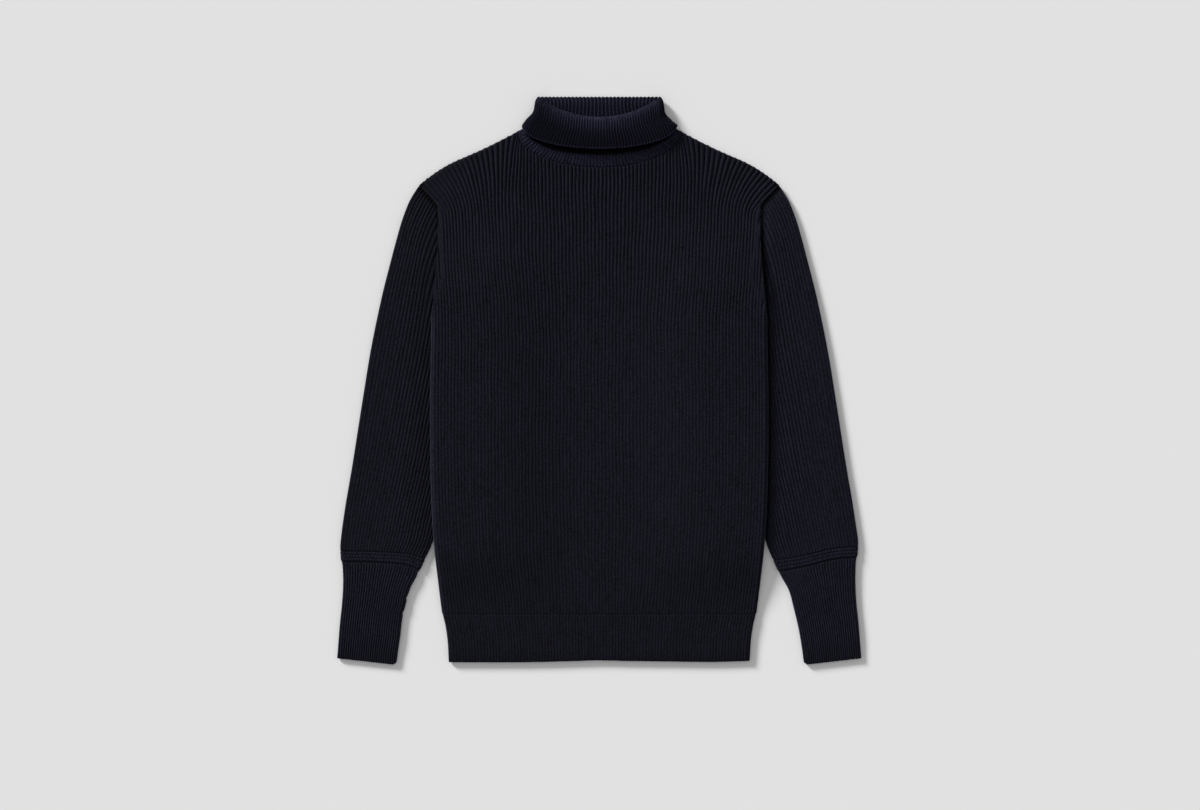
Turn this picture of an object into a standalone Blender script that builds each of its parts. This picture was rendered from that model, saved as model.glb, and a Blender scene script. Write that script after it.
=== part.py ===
"""Turtleneck sweater in heavy rib knit, laid flat on its back with the sleeves down.

Frame: +X to the right as seen from above, +Y from the hem to the neck, +Z up.  The origin is the
middle of the sweater's bounding box, on the surface that it lies on.

Every size in this file is in millimetres.  In the tables "across" is the distance from the
middle line and "up" is the distance from the hem edge towards the neck.  A rib is two columns
wide: the even columns run in the grooves and the odd ones along the crests.
"""

import math

import bmesh
import bpy

METRES = 0.001

# Cloth -------------------------------------------------------------------------------------
WALL = 2.2                  # knit from its plain inside to the rib grooves
RIB = 0.9                   # crests above the grooves
AIR = 1.0                   # between two layers that lie on each other
SEAM_GAP = 0.3              # between two sewn pieces
TOP_INSIDE = WALL + AIR     # inside of an upper layer
TOP = TOP_INSIDE + WALL     # grooves of an upper layer
FOLD_LEVEL = TOP / 2        # side seams and folded edges
FOLD_ROUND = 5.0            # how far in from a folded edge the cloth is rounded
SEAM_DIP = 0.5              # how far a seam draws the upper layer down

# Overall sizes -------------------------------------------------------------------------------
TOTAL_LENGTH = 748.0        # cuff ends to the fold of the collar
CUFF_OVERHANG = 5.5         # cuff ends below the hem edge
HEM_SEAM = 62.0             # height of the ribbed hem band

# Body panels ---------------------------------------------------------------------------------
HEM_HALF_WIDTH = 198.0
BODY_COLUMNS = 99           # columns from the middle line to the side, so 99 ribs in all
BODY_SIDE = (
    # up, half_width; above the underarm the ribs that end at the armhole count as well
    (0.0, HEM_HALF_WIDTH),
    (26.0, 199.5),
    (47.0, 202.5),
    (62.0, 206.0),
    (111.0, 212.0),
    (153.0, 216.5),
    (230.0, 220.5),
    (340.0, 221.5),
    (455.0, 220.0),
    (500.0, 222.0),
    (570.0, 226.0),
    (640.0, 230.0),
    (760.0, 230.0),
)
MIDDLE_SPREAD_LOW = 0.03    # how much wider the ribs lie in the middle than on average
MIDDLE_SPREAD_HIGH = 0.075  # the same in the yoke
SPREAD_FROM = 400.0
SPREAD_LENGTH = 150.0
FAN = (
    # column, length over which the rib bends towards its end on the top edge
    (0, 80.0),
    (60, 80.0),
    (75, 60.0),
    (87, 34.0),
    (88, 24.0),
    (89, 12.0),
    (99, 12.0),
)

NECK_COLUMN = 48            # column that meets the corner of neck and shoulder
NECK_HALF_WIDTH = 108.0
NECK_UP = 697.0
FRONT_NECK_DEPTH = 48.0
BACK_NECK_DEPTH = 8.0
NECK_INSET = 1.4            # the inside of the panels stands back from the collar
NECK_COLUMN_SPREAD = 1.118  # ribs crowd along the steep sides of the neckline
NECK_COLUMN_POWER = 9
SHOULDER_COLUMN = 87        # column that meets the shoulder point
SHOULDER_HALF_WIDTH = 237.0
SHOULDER_SLOPE = 0.47
SHOULDER_RUN_OUT = 7        # columns over which the folded shoulder runs out at the armhole
NECK_RUN_OUT = 5            # and at the neck
SHOULDER_ROUND_FROM = 184.0
SHOULDER_ROUND_DROP = 10.4
SHOULDER_HOLLOW = 2.4       # how far the shoulder line sinks in its middle
SHOULDER_HOLLOW_AT = 152.0
SHOULDER_HOLLOW_REACH = 45.0
ARMHOLE = (
    # body_column, sleeve_column, across, up; from the shoulder point to the underarm, and then
    # the part that is tucked below the body, where only the sleeve has columns
    (87, 0, 237.0, 626.2),
    (88, 8, 225.0, 612.5),
    (89, 16, 213.0, 599.0),
    (90, 19, 212.0, 582.0),
    (93, 24, 212.4, 542.0),
    (96, 28, 218.5, 475.0),
    (99, 30, 220.0, 455.0),
    (None, 42, 197.0, 442.0),
    (None, 52, 171.0, 425.0),
    (None, 58, 157.0, 410.0),
)

# The sleeves are tucked below the sides of the body and lift it.
LIFT = 6.9
LIFT_INSIDE = 34.0          # half-width of the middle that lies on the floor
LIFT_RAMP = 114.0
LIFT_TOP = 600.0
LIFT_TOP_RAMP = 115.0
LIFT_BOTTOM = 62.0
LIFT_BOTTOM_RAMP = 86.0

# Sleeves and cuffs ---------------------------------------------------------------------------
SLEEVE_COLUMNS = 58         # 29 ribs across the flat sleeve
SLEEVE_EDGES = (
    # up, outer, inner
    (626.2, 237.0, 150.0),
    (607.0, 248.8, 150.0),
    (596.6, 253.4, 150.0),
    (574.0, 261.4, 150.0),
    (515.0, 277.2, 150.0),
    (475.0, 287.1, 150.0),
    (410.0, 300.5, 157.0),
    (343.0, 311.5, 173.0),
    (257.0, 325.0, 192.7),
    (198.0, 335.0, 208.6),
    (154.0, 340.6, 220.4),
    (136.0, 340.6, 229.5),
)
SLEEVE_FAN_LENGTH = 70.0
SLEEVE_END_OUTER = 143.2
SLEEVE_END_INNER = 136.0
CUFF_COLUMNS = 54           # 27 fine ribs
CUFF_ROWS = (
    # outer, outer_up, inner, inner_up, garter, rib; the purl rows of the band, then the rib
    (340.6, 142.9, 229.8, 135.7, 0.0, 0.0),
    (340.6, 139.5, 231.0, 132.0, 0.8, 0.0),
    (340.4, 136.0, 232.6, 128.3, 0.0, 0.0),
    (340.0, 132.5, 234.4, 124.6, 0.8, 0.0),
    (339.0, 128.5, 236.6, 120.6, -0.3, 0.0),
    (338.0, 122.0, 240.0, 113.5, 0.0, 1.0),
    (337.4, 101.0, 249.0, 95.0, 0.0, 1.0),
    (338.8, 76.0, 255.2, 72.0, 0.0, 1.0),
    (341.9, 46.0, 262.3, 42.0, 0.0, 1.0),
    (344.2, 16.0, 267.6, 10.0, 0.0, 1.0),
    (345.1, 5.4, 268.9, -3.5, 0.0, 1.0),
    (345.2, 3.4, 269.0, -5.5, 0.0, 0.0),
)
CUFF_RIB = 0.7

# Collar --------------------------------------------------------------------------------------
COLLAR_COLUMNS = 106        # 53 ribs across the front of the collar
COLLAR_RIB = 0.8
ELLIPSE = 0.5               # outline power of the neckline and of the loose edge
FOLD_CURVE = 0.9            # outline power of the fold
NECK_SIDE_ROWS = (
    # half_width, side_up, front_dip, back_dip, power, front_z, back_z, ribs
    # the side that faces the neck, over the fold and down the outside of the turned-down part
    (105.5, 697.0, 47.7, 7.3, ELLIPSE, 3.2, 2.2, None),
    (95.4, 702.5, 41.0, 6.0, ELLIPSE, 4.5, 4.4, None),
    (92.6, 707.5, 30.0, 4.0, 0.55, 5.3, 4.7, None),
    (88.0, 713.0, 27.5, 2.0, 0.65, 5.9, 4.8, None),
    (80.2, 722.0, 26.0, 0.0, 0.75, 6.6, 4.8, None),
    (77.2, 734.0, 26.0, 0.0, FOLD_CURVE, 7.4, 4.8, None),
    (79.8, 742.5, 27.1, 0.0, FOLD_CURVE, 10.4, 2.4, 0.6),
    (83.8, 737.5, 26.2, 0.0, FOLD_CURVE, 13.4, 0.0, 1.0),
    (87.4, 722.0, 26.0, 0.0, 0.75, 14.2, 0.0, 1.0),
    (95.6, 713.0, 27.5, 0.0, 0.65, 13.8, 0.0, 1.0),
    (101.9, 704.6, 29.4, 2.5, ELLIPSE, 12.8, 0.0, 1.0),
    (102.4, 703.4, 30.2, 3.4, ELLIPSE, 12.4, 0.3, 0.0),
)
BODY_SIDE_ROWS = (
    # the same columns for the side that is turned away from the neck, and on below the fold
    (107.6, 697.0, 47.7, 7.3, ELLIPSE, 5.0, 0.0, 0.0),
    (106.6, 697.6, 46.9, 7.1, ELLIPSE, 5.2, 0.2, 1.0),
    (97.6, 702.0, 41.0, 6.0, ELLIPSE, 6.6, 2.4, 1.0),
    (94.8, 707.0, 30.0, 4.0, 0.55, 7.5, 2.6, 0.0),
    (90.4, 713.0, 27.5, 2.0, 0.65, 8.1, 2.6, None),
    (82.6, 722.0, 26.0, 0.0, 0.75, 8.8, 2.6, None),
    (80.0, 732.0, 26.0, 0.0, FOLD_CURVE, 9.6, 2.6, None),
    (81.8, 732.0, 26.0, 0.0, FOLD_CURVE, 10.2, 2.2, None),
    (85.2, 722.0, 26.0, 0.0, 0.75, 11.2, 2.2, None),
    (93.2, 713.0, 27.5, 0.0, 0.65, 11.6, 2.2, None),
    (100.0, 704.5, 30.0, 3.0, ELLIPSE, 10.6, 2.1, None),
)

# Mesh rows and columns -----------------------------------------------------------------------
SEAM_ENDS = (0.0, 1.0)              # rows on a seam, where the ribs are drawn flat
PANEL_ROWS = (0.0, 0.005, 0.015, 0.035, 0.075, 0.15, 0.33, 0.62, 0.85, 0.99, 1.0)
INSIDE_COLUMNS = (
    0, 12, 22, 30, 36, 40, 43, 45, 47, 48, 51, 54, 62, 70, 76, 80, 83, 85, 87, 88, 89, 90, 93, 96, 99
)
UNDERSIDE_COLUMNS = INSIDE_COLUMNS[:-1] + (98, 99)
SLEEVE_ROWS = (0.0, 0.01, 0.06, 0.15, 0.28, 0.44, 0.62, 0.81, 0.99, 1.0)
HEM_ROWS = (0.0, 0.05, 0.96, 1.0)
SLEEVE_PLAIN_COLUMNS = (8, 16, 19, 24, 28, 30, 42, 52)
CUFF_PLAIN_COLUMNS = (13, 27, 41)
HEM_PLAIN_COLUMNS = (33, 66, 99, 132, 165)
UNDER_ROUNDING = (1.0, 3.0)         # how far in from a folded edge the underside has columns
RING_HALF = (0.0, 0.2, 0.4, 0.55, 0.68, 0.8, 0.89, 0.945, 0.975, 0.992, 1.0)

# Look ----------------------------------------------------------------------------------------
NAVY = (0.0075, 0.0078, 0.0130, 1.0)
ROUGHNESS = 0.9


def clear_scene():
    """Remove every object of the scene that the script was started in."""
    for item in list(bpy.data.objects):
        bpy.data.objects.remove(item, do_unlink=True)


def knit_material(name):
    """Dark navy wool, matt and not metallic."""
    material = bpy.data.materials.new(name)
    material.use_nodes = True
    shader = material.node_tree.nodes["Principled BSDF"]
    shader.inputs["Base Color"].default_value = NAVY
    shader.inputs["Roughness"].default_value = ROUGHNESS
    shader.inputs["Metallic"].default_value = 0.0
    return material


def smooth(share):
    """An S-shaped step from 0 to 1."""
    share = min(max(share, 0.0), 1.0)
    return share * share * (3.0 - 2.0 * share)


def read_table(table, key_column, value_column, key):
    """Value at a key, on a smooth curve through the table's rows."""
    rows = sorted(
        (row for row in table if row[key_column] is not None), key=lambda row: row[key_column]
    )
    keys = [row[key_column] for row in rows]
    values = [row[value_column] for row in rows]
    key = min(max(key, keys[0]), keys[-1])
    index = min(sum(1 for other in keys[1:-1] if other <= key), len(keys) - 2)

    def slope(row):
        before, after = max(row - 1, 0), min(row + 1, len(keys) - 1)
        return (values[after] - values[before]) / (keys[after] - keys[before])

    span = keys[index + 1] - keys[index]
    share = (key - keys[index]) / span
    step = smooth(share)
    leave = share * (1.0 - share) ** 2 * span * slope(index)
    arrive = share ** 2 * (1.0 - share) * span * slope(index + 1)
    return values[index] * (1.0 - step) + values[index + 1] * step + leave - arrive


def read_line(table, key_column, value_columns, key):
    """Values at a key, on straight lines between the table's rows."""
    rows = [row for row in table if row[key_column] is not None]
    for low, high in zip(rows, rows[1:]):
        if key <= high[key_column]:
            break
    share = (key - low[key_column]) / (high[key_column] - low[key_column])
    return [low[column] + (high[column] - low[column]) * share for column in value_columns]


def folded_height(distance):
    """Share of the full height that rounded cloth has at a distance from its folded edge."""
    inward = min(max(distance / FOLD_ROUND, 0.0), 1.0)
    return math.sqrt(1.0 - (1.0 - inward) ** 2)


def crest(column):
    """1 on the crest of a rib and 0 in its grooves."""
    return column % 2


def body_lift(across, up):
    """How far the tucked sleeves raise the body off the floor."""
    side = smooth((abs(across) - LIFT_INSIDE) / LIFT_RAMP)
    below_armhole = smooth((LIFT_TOP - up) / LIFT_TOP_RAMP)
    above_hem = smooth((up - LIFT_BOTTOM) / LIFT_BOTTOM_RAMP)
    return LIFT * side * below_armhole * above_hem


def top_edge(column, neck_depth):
    """Where a column of a body panel ends: on the neckline, the shoulder or the armhole."""
    side = math.copysign(1.0, column)
    column = abs(column)
    if column <= NECK_COLUMN:
        share = column / NECK_COLUMN
        crowd = (NECK_COLUMN_SPREAD - 1.0) * share ** NECK_COLUMN_POWER
        share = min(NECK_COLUMN_SPREAD * share - crowd, 1.0)
        return side * NECK_HALF_WIDTH * share, NECK_UP - neck_depth * math.sqrt(1.0 - share ** 2)
    if column <= SHOULDER_COLUMN:
        share = (column - NECK_COLUMN) / (SHOULDER_COLUMN - NECK_COLUMN)
        across = NECK_HALF_WIDTH + (SHOULDER_HALF_WIDTH - NECK_HALF_WIDTH) * share
        rounding = max(across - SHOULDER_ROUND_FROM, 0.0)
        rounding /= SHOULDER_HALF_WIDTH - SHOULDER_ROUND_FROM
        slope = SHOULDER_SLOPE * (across - NECK_HALF_WIDTH)
        from_hollow = (across - SHOULDER_HOLLOW_AT) / SHOULDER_HOLLOW_REACH
        drop = SHOULDER_ROUND_DROP * rounding ** 2 + SHOULDER_HOLLOW * math.exp(-from_hollow ** 2)
        return side * across, NECK_UP - slope - drop
    across, up = read_line(ARMHOLE, 0, (2, 3), column)
    return side * across, up


def even_place(column, up):
    """Distance across of a column where no edge bends it, wider spaced in the middle."""
    share = column / BODY_COLUMNS
    rise = smooth((up - SPREAD_FROM) / SPREAD_LENGTH)
    spread = MIDDLE_SPREAD_LOW + (MIDDLE_SPREAD_HIGH - MIDDLE_SPREAD_LOW) * rise
    spread *= smooth(up / SPREAD_LENGTH)
    return read_table(BODY_SIDE, 0, 1, up) * share * (1.0 + spread * (1.0 - share ** 2))


def panel_place(column, along, neck_depth):
    """Place on a body panel seen from above; along runs from 0 at the top edge to 1 at the hem."""
    top_across, top_up = top_edge(column, neck_depth)
    up = top_up + (HEM_SEAM + SEAM_GAP / 2 - top_up) * along
    fan_length = read_line(FAN, 0, (1,), abs(column))[0]
    bend = max(1.0 - (top_up - up) / fan_length, 0.0) ** 2
    across = even_place(column, up) + (top_across - even_place(column, top_up)) * bend
    return across, up


def shoulder_share(column):
    """1 where a column ends at the shoulder seam, running out to 0 before the armhole."""
    return 1.0 - smooth((abs(column) - SHOULDER_COLUMN + SHOULDER_RUN_OUT) / SHOULDER_RUN_OUT)


def panel_fold(column, along, neck_depth):
    """Share of its full height that a body panel has near its folded sides and shoulders."""
    _, up = panel_place(column, along, neck_depth)
    _, top_up = top_edge(column, neck_depth)
    side_distance = (BODY_COLUMNS - abs(column)) * HEM_HALF_WIDTH / BODY_COLUMNS
    on_shoulder = shoulder_share(column) * smooth((abs(column) - NECK_COLUMN) / NECK_RUN_OUT)
    shoulder = 1.0 - on_shoulder * (1.0 - folded_height(top_up - up))
    return min(folded_height(side_distance), shoulder)


def panel_inside_place(column, along, neck_depth):
    """Place on the inside of a panel, set back from the edge by the cloth's own thickness."""
    if along == 0.0:
        _, top_up = top_edge(column, neck_depth)
        along = WALL * shoulder_share(column) / (top_up - HEM_SEAM)
        if abs(column) <= NECK_COLUMN:
            across, up = panel_place(column, along, neck_depth)
            return across * (1.0 + NECK_INSET / NECK_HALF_WIDTH), up
    across, up = panel_place(column, along, neck_depth)
    if abs(column) == BODY_COLUMNS:
        across -= math.copysign(WALL, across)
    return across, up


def panel_share(column):
    """How far across a body panel a column lies, from 0 at the left to 1 at the right."""
    return (column + BODY_COLUMNS) / (2 * BODY_COLUMNS)


def front_rows():
    """Ribbed face and plain inside of the front panel, from its top edge to the hem seam.

    Each point of a row is its share of the way along the row, its place across and up, and its
    height, here and in the rows of every other piece.
    """
    face, inside = [], []
    for along in PANEL_ROWS:
        seam = along in SEAM_ENDS
        knit = 0.0 if seam else RIB
        dip = SEAM_DIP if seam else 0.0
        face_row, inside_row = [], []
        for column in range(-BODY_COLUMNS, BODY_COLUMNS + 1):
            across, up = panel_place(column, along, FRONT_NECK_DEPTH)
            fold = panel_fold(column, along, FRONT_NECK_DEPTH)
            edge = FOLD_LEVEL + SEAM_GAP / 2
            height = edge + (TOP - dip + knit * crest(column) - edge) * fold
            height += body_lift(across, up)
            face_row.append((panel_share(column), across, up, height))
        for column in mirrored(INSIDE_COLUMNS):
            across, up = panel_inside_place(column, along, FRONT_NECK_DEPTH)
            height = TOP_INSIDE + body_lift(across, up)
            inside_row.append((panel_share(column), across, up, height))
        face.append(face_row)
        inside.append(inside_row)
    return face, inside


def back_rows():
    """Plain face, which is the underside, and plain inside of the back panel."""
    face, inside = [], []
    for along in PANEL_ROWS:
        face_row, inside_row = [], []
        for column in mirrored(UNDERSIDE_COLUMNS):
            across, up = panel_place(column, along, BACK_NECK_DEPTH)
            fold = panel_fold(column, along, BACK_NECK_DEPTH)
            height = (FOLD_LEVEL - SEAM_GAP / 2) * (1.0 - fold) + body_lift(across, up)
            face_row.append((panel_share(column), across, up, height))
        for column in mirrored(INSIDE_COLUMNS):
            across, up = panel_inside_place(column, along, BACK_NECK_DEPTH)
            height = WALL + body_lift(across, up)
            inside_row.append((panel_share(column), across, up, height))
        face.append(face_row)
        inside.append(inside_row)
    return face, inside


def mirrored(columns):
    """Columns of one half, outermost first on the left and last on the right."""
    return [-column for column in reversed(columns) if column] + list(columns)


def sleeve_place(column, along):
    """Place on a sleeve seen from above; along runs from 0 at the armhole to 1 at the cuff."""
    top_across, top_up = read_line(ARMHOLE, 1, (2, 3), column)
    top_across += SEAM_GAP
    top_up -= SEAM_GAP / 2
    share = column / SLEEVE_COLUMNS
    end_up = SLEEVE_END_OUTER + (SLEEVE_END_INNER - SLEEVE_END_OUTER) * share
    up = top_up + (end_up - top_up) * along

    def straight(height):
        outer = read_table(SLEEVE_EDGES, 0, 1, height)
        inner = read_table(SLEEVE_EDGES, 0, 2, height)
        return outer + (inner - outer) * share

    bend = max(1.0 - (top_up - up) / SLEEVE_FAN_LENGTH, 0.0) ** 2
    return straight(up) + (top_across - straight(top_up)) * bend, up


def cuff_place(column, row):
    """Place on a cuff seen from above, at a row of its table."""
    outer, outer_up, inner, inner_up = CUFF_ROWS[row][:4]
    share = column / CUFF_COLUMNS
    return outer + (inner - outer) * share, outer_up + (inner_up - outer_up) * share


def hem_place(column, along):
    """Place on the hem band seen from above; its columns are counted from the left side."""
    up = (HEM_SEAM - SEAM_GAP / 2) * (1.0 - along)
    half_width = read_table(BODY_SIDE, 0, 1, up)
    return half_width * (column / BODY_COLUMNS - 1.0), up


def flat_tube_rows(place, columns, plain_columns, rows, relief):
    """Closed rows around the outside and inside of a tube of cloth that lies flat.

    place(column, row) gives a place seen from above and relief(column, row) the height of the
    knit above the plain cloth.  The underside is flat and both folded edges are rounded; it and
    the inside have the plain columns, besides those that form the folds.
    """
    around = 2 * columns
    face, inside = [], []
    for row in rows:
        start = place(0, row)
        end = place(columns, row)

        def fold_at(spot):
            return folded_height(min(math.dist(spot, start), math.dist(spot, end)))

        loop = []
        for column in range(columns + 1):
            spot = place(column, row)
            fold = fold_at(spot)
            height = FOLD_LEVEL + (TOP + relief(column, row) - FOLD_LEVEL) * fold
            loop.append((column / around, *spot, height))
        per_column = math.dist(start, end) / columns
        rounding = [inset / per_column for inset in UNDER_ROUNDING]
        for column in reversed(between_folds(rounding, plain_columns, columns)):
            spot = place(column, row)
            loop.append((1.0 - column / around, *spot, FOLD_LEVEL * (1.0 - fold_at(spot))))
        face.append(loop)
        stops = between_folds([WALL / per_column], plain_columns, columns)
        upper = [(stop / around, *place(stop, row), TOP_INSIDE) for stop in stops]
        lower = [(1.0 - stop / around, *place(stop, row), WALL) for stop in reversed(stops)]
        inside.append(upper + lower)
    return face, inside


def between_folds(insets, plain_columns, columns):
    """Columns at the same insets from both folds, with the plain columns between them."""
    return insets + list(plain_columns) + [columns - inset for inset in reversed(insets)]


def ring_row(half_width, side_up, front_dip, back_dip, power, front_z, back_z, ribs):
    """One closed row around the collar: along the front to the right, and back behind the neck.

    With ribs given the front has a point for each column, raised on the crests by that share of
    the collar's rib; without it the row is plain.
    """
    middle = (front_z + back_z) / 2
    half_height = (front_z - back_z) / 2
    if ribs is None:
        front = mirrored(RING_HALF)
    else:
        front = [2.0 * column / COLLAR_COLUMNS - 1.0 for column in range(COLLAR_COLUMNS + 1)]

    def height(place):
        inward = min(max((1.0 - abs(place)) * half_width / half_height, 0.0), 1.0)
        return half_height * math.sqrt(1.0 - (1.0 - inward) ** 2)

    def up(place, dip):
        return side_up - dip * max(1.0 - place * place, 0.0) ** power

    row = []
    for column, place in enumerate(front):
        share = height(place) / half_height
        raised = COLLAR_RIB * (ribs or 0.0) * crest(column) * share
        spot = (half_width * place, up(place, front_dip), middle + height(place) + raised)
        row.append(((1.0 + place) / 4, *spot))
    for place in reversed(mirrored(RING_HALF)[1:-1]):
        spot = (half_width * place, up(place, back_dip), middle - height(place))
        row.append(((3.0 - place) / 4, *spot))
    return row


def strip(mesh, row, other):
    """Triangles between two rows, each a list of its vertices with their shares of the row.

    Between rows with the same count the diagonals of the two halves are mirrored.
    """
    if len(row) == len(other):
        for (share, a), (_, b), (_, c), (_, d) in zip(row, row[1:], other[1:], other):
            if share < 0.5:
                mesh.faces.new((a, b, c))
                mesh.faces.new((a, c, d))
            else:
                mesh.faces.new((a, b, d))
                mesh.faces.new((b, c, d))
        return
    i = j = 0
    while i + 1 < len(row) or j + 1 < len(other):
        row_is_behind = i + 1 < len(row) and (
            j + 1 == len(other) or row[i + 1][0] <= other[j + 1][0]
        )
        if row_is_behind:
            mesh.faces.new((row[i][1], row[i + 1][1], other[j][1]))
            i += 1
        else:
            mesh.faces.new((row[i][1], other[j + 1][1], other[j][1]))
            j += 1


def make_wall(name, face_rows, inside_rows, closed, material):
    """A closed wall of cloth between the rows of its face and the rows of its inside."""
    mesh = bmesh.new()
    middle = TOTAL_LENGTH / 2 - CUFF_OVERHANG

    def add_rows(rows):
        added = []
        for row in rows:
            vertices = []
            for share, across, up, height in row:
                spot = (across * METRES, (up - middle) * METRES, height * METRES)
                vertices.append((share, mesh.verts.new(spot)))
            if closed:
                vertices.append((1.0, vertices[0][1]))
            added.append(vertices)
        return added

    face = add_rows(face_rows)
    inside = add_rows(inside_rows)
    for rows in (face, inside):
        for row, following in zip(rows, rows[1:]):
            strip(mesh, row, following)
    strip(mesh, face[0], inside[0])
    strip(mesh, face[-1], inside[-1])
    if not closed:
        for end in (0, -1):
            strip(mesh, [row[end] for row in face], [row[end] for row in inside])
    bmesh.ops.recalc_face_normals(mesh, faces=mesh.faces)
    data = bpy.data.meshes.new(name)
    mesh.to_mesh(data)
    mesh.free()
    data.materials.append(material)
    piece = bpy.data.objects.new(name, data)
    bpy.context.scene.collection.objects.link(piece)
    return piece


def on_side(rows, side):
    """Rows drawn for the right side, mirrored where the left side is wanted."""
    return [
        [(share, side * across, up, height) for share, across, up, height in row] for row in rows
    ]


def make_body(material):
    """Front and back panel and the band of the hem."""
    make_wall("front", *front_rows(), closed=False, material=material)
    make_wall("back", *back_rows(), closed=False, material=material)

    def hem_relief(column, along):
        return 0.0 if along in SEAM_ENDS else RIB * crest(column)

    hem = flat_tube_rows(
        hem_place, 2 * BODY_COLUMNS, HEM_PLAIN_COLUMNS, HEM_ROWS, hem_relief
    )
    make_wall("hem_band", *hem, closed=True, material=material)


def make_sleeve(name, side, material):
    """A sleeve from the armhole seam to the band of the cuff."""

    def sleeve_relief(column, along):
        return -SEAM_DIP if along in SEAM_ENDS else RIB * crest(column)

    face, inside = flat_tube_rows(
        sleeve_place, SLEEVE_COLUMNS, SLEEVE_PLAIN_COLUMNS, SLEEVE_ROWS, sleeve_relief
    )
    make_wall(name, on_side(face, side), on_side(inside, side), closed=True, material=material)


def make_cuff(name, side, material):
    """A cuff: the band of raised purl rows that joins it to the sleeve, and its fine rib."""

    def cuff_relief(column, row):
        garter, rib = CUFF_ROWS[row][4:]
        return garter + CUFF_RIB * rib * crest(column)

    rows = range(len(CUFF_ROWS))
    face, inside = flat_tube_rows(
        cuff_place, CUFF_COLUMNS, CUFF_PLAIN_COLUMNS, rows, cuff_relief
    )
    make_wall(name, on_side(face, side), on_side(inside, side), closed=True, material=material)


def make_collar(material):
    """The collar: up from the neckline, over its fold and down again."""
    neck_side = [ring_row(*row) for row in NECK_SIDE_ROWS]
    body_side = [ring_row(*row) for row in BODY_SIDE_ROWS]
    make_wall("collar", neck_side, body_side, closed=True, material=material)


def main():
    clear_scene()
    make_body(knit_material("navy_rib_knit"))
    for name, side in (("left", -1), ("right", 1)):
        make_sleeve(f"sleeve_{name}", side, knit_material(f"navy_sleeve_{name}"))
        make_cuff(f"cuff_{name}", side, knit_material(f"navy_cuff_{name}"))
    make_collar(knit_material("navy_collar"))


main()
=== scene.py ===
"""Looks of the turtleneck sweater: heavy navy rib knit, laid flat and seen from straight above.

Each piece is a closed shell of cloth, drawn in millimetres: "across" from the middle line, "up"
from the hem edge towards the neck, and the height above the floor.  A rib is two columns wide,
with its groove on the even column and its crest on the odd one.

The outlines, the neckline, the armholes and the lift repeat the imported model's tables.  The scene
laps the pieces at their seams, where the model has gaps, and adds small forms: ribs that wander,
creases, a smooth strip by the armholes, slanting cuff seams, nicks, a wavering hem edge, 55 ribs
on the collar where the model has 53, and sleeve ends that rise under the edge of the body.
"""

import math

import bmesh
import bpy
import numpy as np
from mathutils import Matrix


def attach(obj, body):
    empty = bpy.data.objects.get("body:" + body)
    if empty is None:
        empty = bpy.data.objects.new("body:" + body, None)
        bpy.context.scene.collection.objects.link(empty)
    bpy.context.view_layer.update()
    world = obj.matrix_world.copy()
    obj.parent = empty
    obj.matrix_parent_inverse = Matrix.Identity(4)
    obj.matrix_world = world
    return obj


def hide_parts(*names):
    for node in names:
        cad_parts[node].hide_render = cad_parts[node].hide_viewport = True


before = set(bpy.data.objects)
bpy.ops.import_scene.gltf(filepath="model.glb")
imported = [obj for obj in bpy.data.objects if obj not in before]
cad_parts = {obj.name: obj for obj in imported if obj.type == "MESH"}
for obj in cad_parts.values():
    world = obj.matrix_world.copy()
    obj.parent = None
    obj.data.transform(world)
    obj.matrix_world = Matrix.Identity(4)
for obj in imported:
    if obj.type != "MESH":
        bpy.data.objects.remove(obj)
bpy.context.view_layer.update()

METRES = 0.001

# Cloth
WALL = 2.2
AIR = 1.0
RIB = 0.9  # crests above the level that the solids give the grooves
RIB_DEPTH = 1.5  # crests above the grooves
BODY_CREST = 3  # powers of the crests' profile
COLLAR_CREST = 1.6
SEAM_LAP = 0.5  # of the sewn pieces over each other
TOP_INSIDE = WALL + AIR
TOP = TOP_INSIDE + WALL
FOLD_LEVEL = TOP / 2
FOLD_ROUND = 5.0
STITCH = 3.1  # height of one stitch
SEAM_FADE = 2.2  # length over which the ribs come out of a seam
SEAM_DIP = 0.5
EDGE_STEPS = np.array([0.0, 0.3, 0.8, 1.5, 2.4, 3.5, 5.0, 7.5, 11.0])  # of the rows near a seam
END_ROUND = 2.5  # over which a bound end is rounded

# Body panels
TOTAL_LENGTH = 748.0
CUFF_OVERHANG = 5.5
HEM_SEAM = 62.0
HEM_HALF_WIDTH = 198.0
BODY_COLUMNS = 99
BODY_SIDE = (
    # up, half_width; above the underarm the ribs that end at the armhole count as well
    (0, HEM_HALF_WIDTH), (26, 199.5), (47, 202.5), (62, 206), (111, 212),
    (153, 216.5), (230, 220.5), (340, 221.5), (455, 220), (500, 222),
    (570, 226), (640, 230), (760, 230),
)
MIDDLE_SPREAD_LOW = 0.03
MIDDLE_SPREAD_HIGH = 0.075
SPREAD_FROM = 400.0
SPREAD_LENGTH = 150.0
WANDER = 1.1  # of the ribs to either side, on three waves
WANDER_LENGTHS = (34.0, 71.0, 12.5)  # along the ribs, for each radian
WANDER_COLUMNS = (9.0, 21.0, 5.0)  # and across the ribs
WANDER_WARP = 1.3  # of the shortest wave, in radians
WANDER_TOP_FADE = 30.0  # below the top edge
WANDER_SIDE_POWER = 4  # how late the waves die away towards the sides
FAN = (
    # column, length over which its rib bends towards the top edge, power of the bend
    (0, 80, 2), (60, 80, 2), (75, 60, 2), (82, 46, 1.6),
    (87, 38, 1.3), (88, 24, 1.5), (89, 12, 2), (99, 12, 2),
)
NECK_COLUMN = 48
NECK_HALF_WIDTH = 108.0
NECK_UP = 697.0
FRONT_NECK_DEPTH = 48.0
BACK_NECK_DEPTH = 8.0
NECK_COLUMN_SPREAD = 1.118
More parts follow.
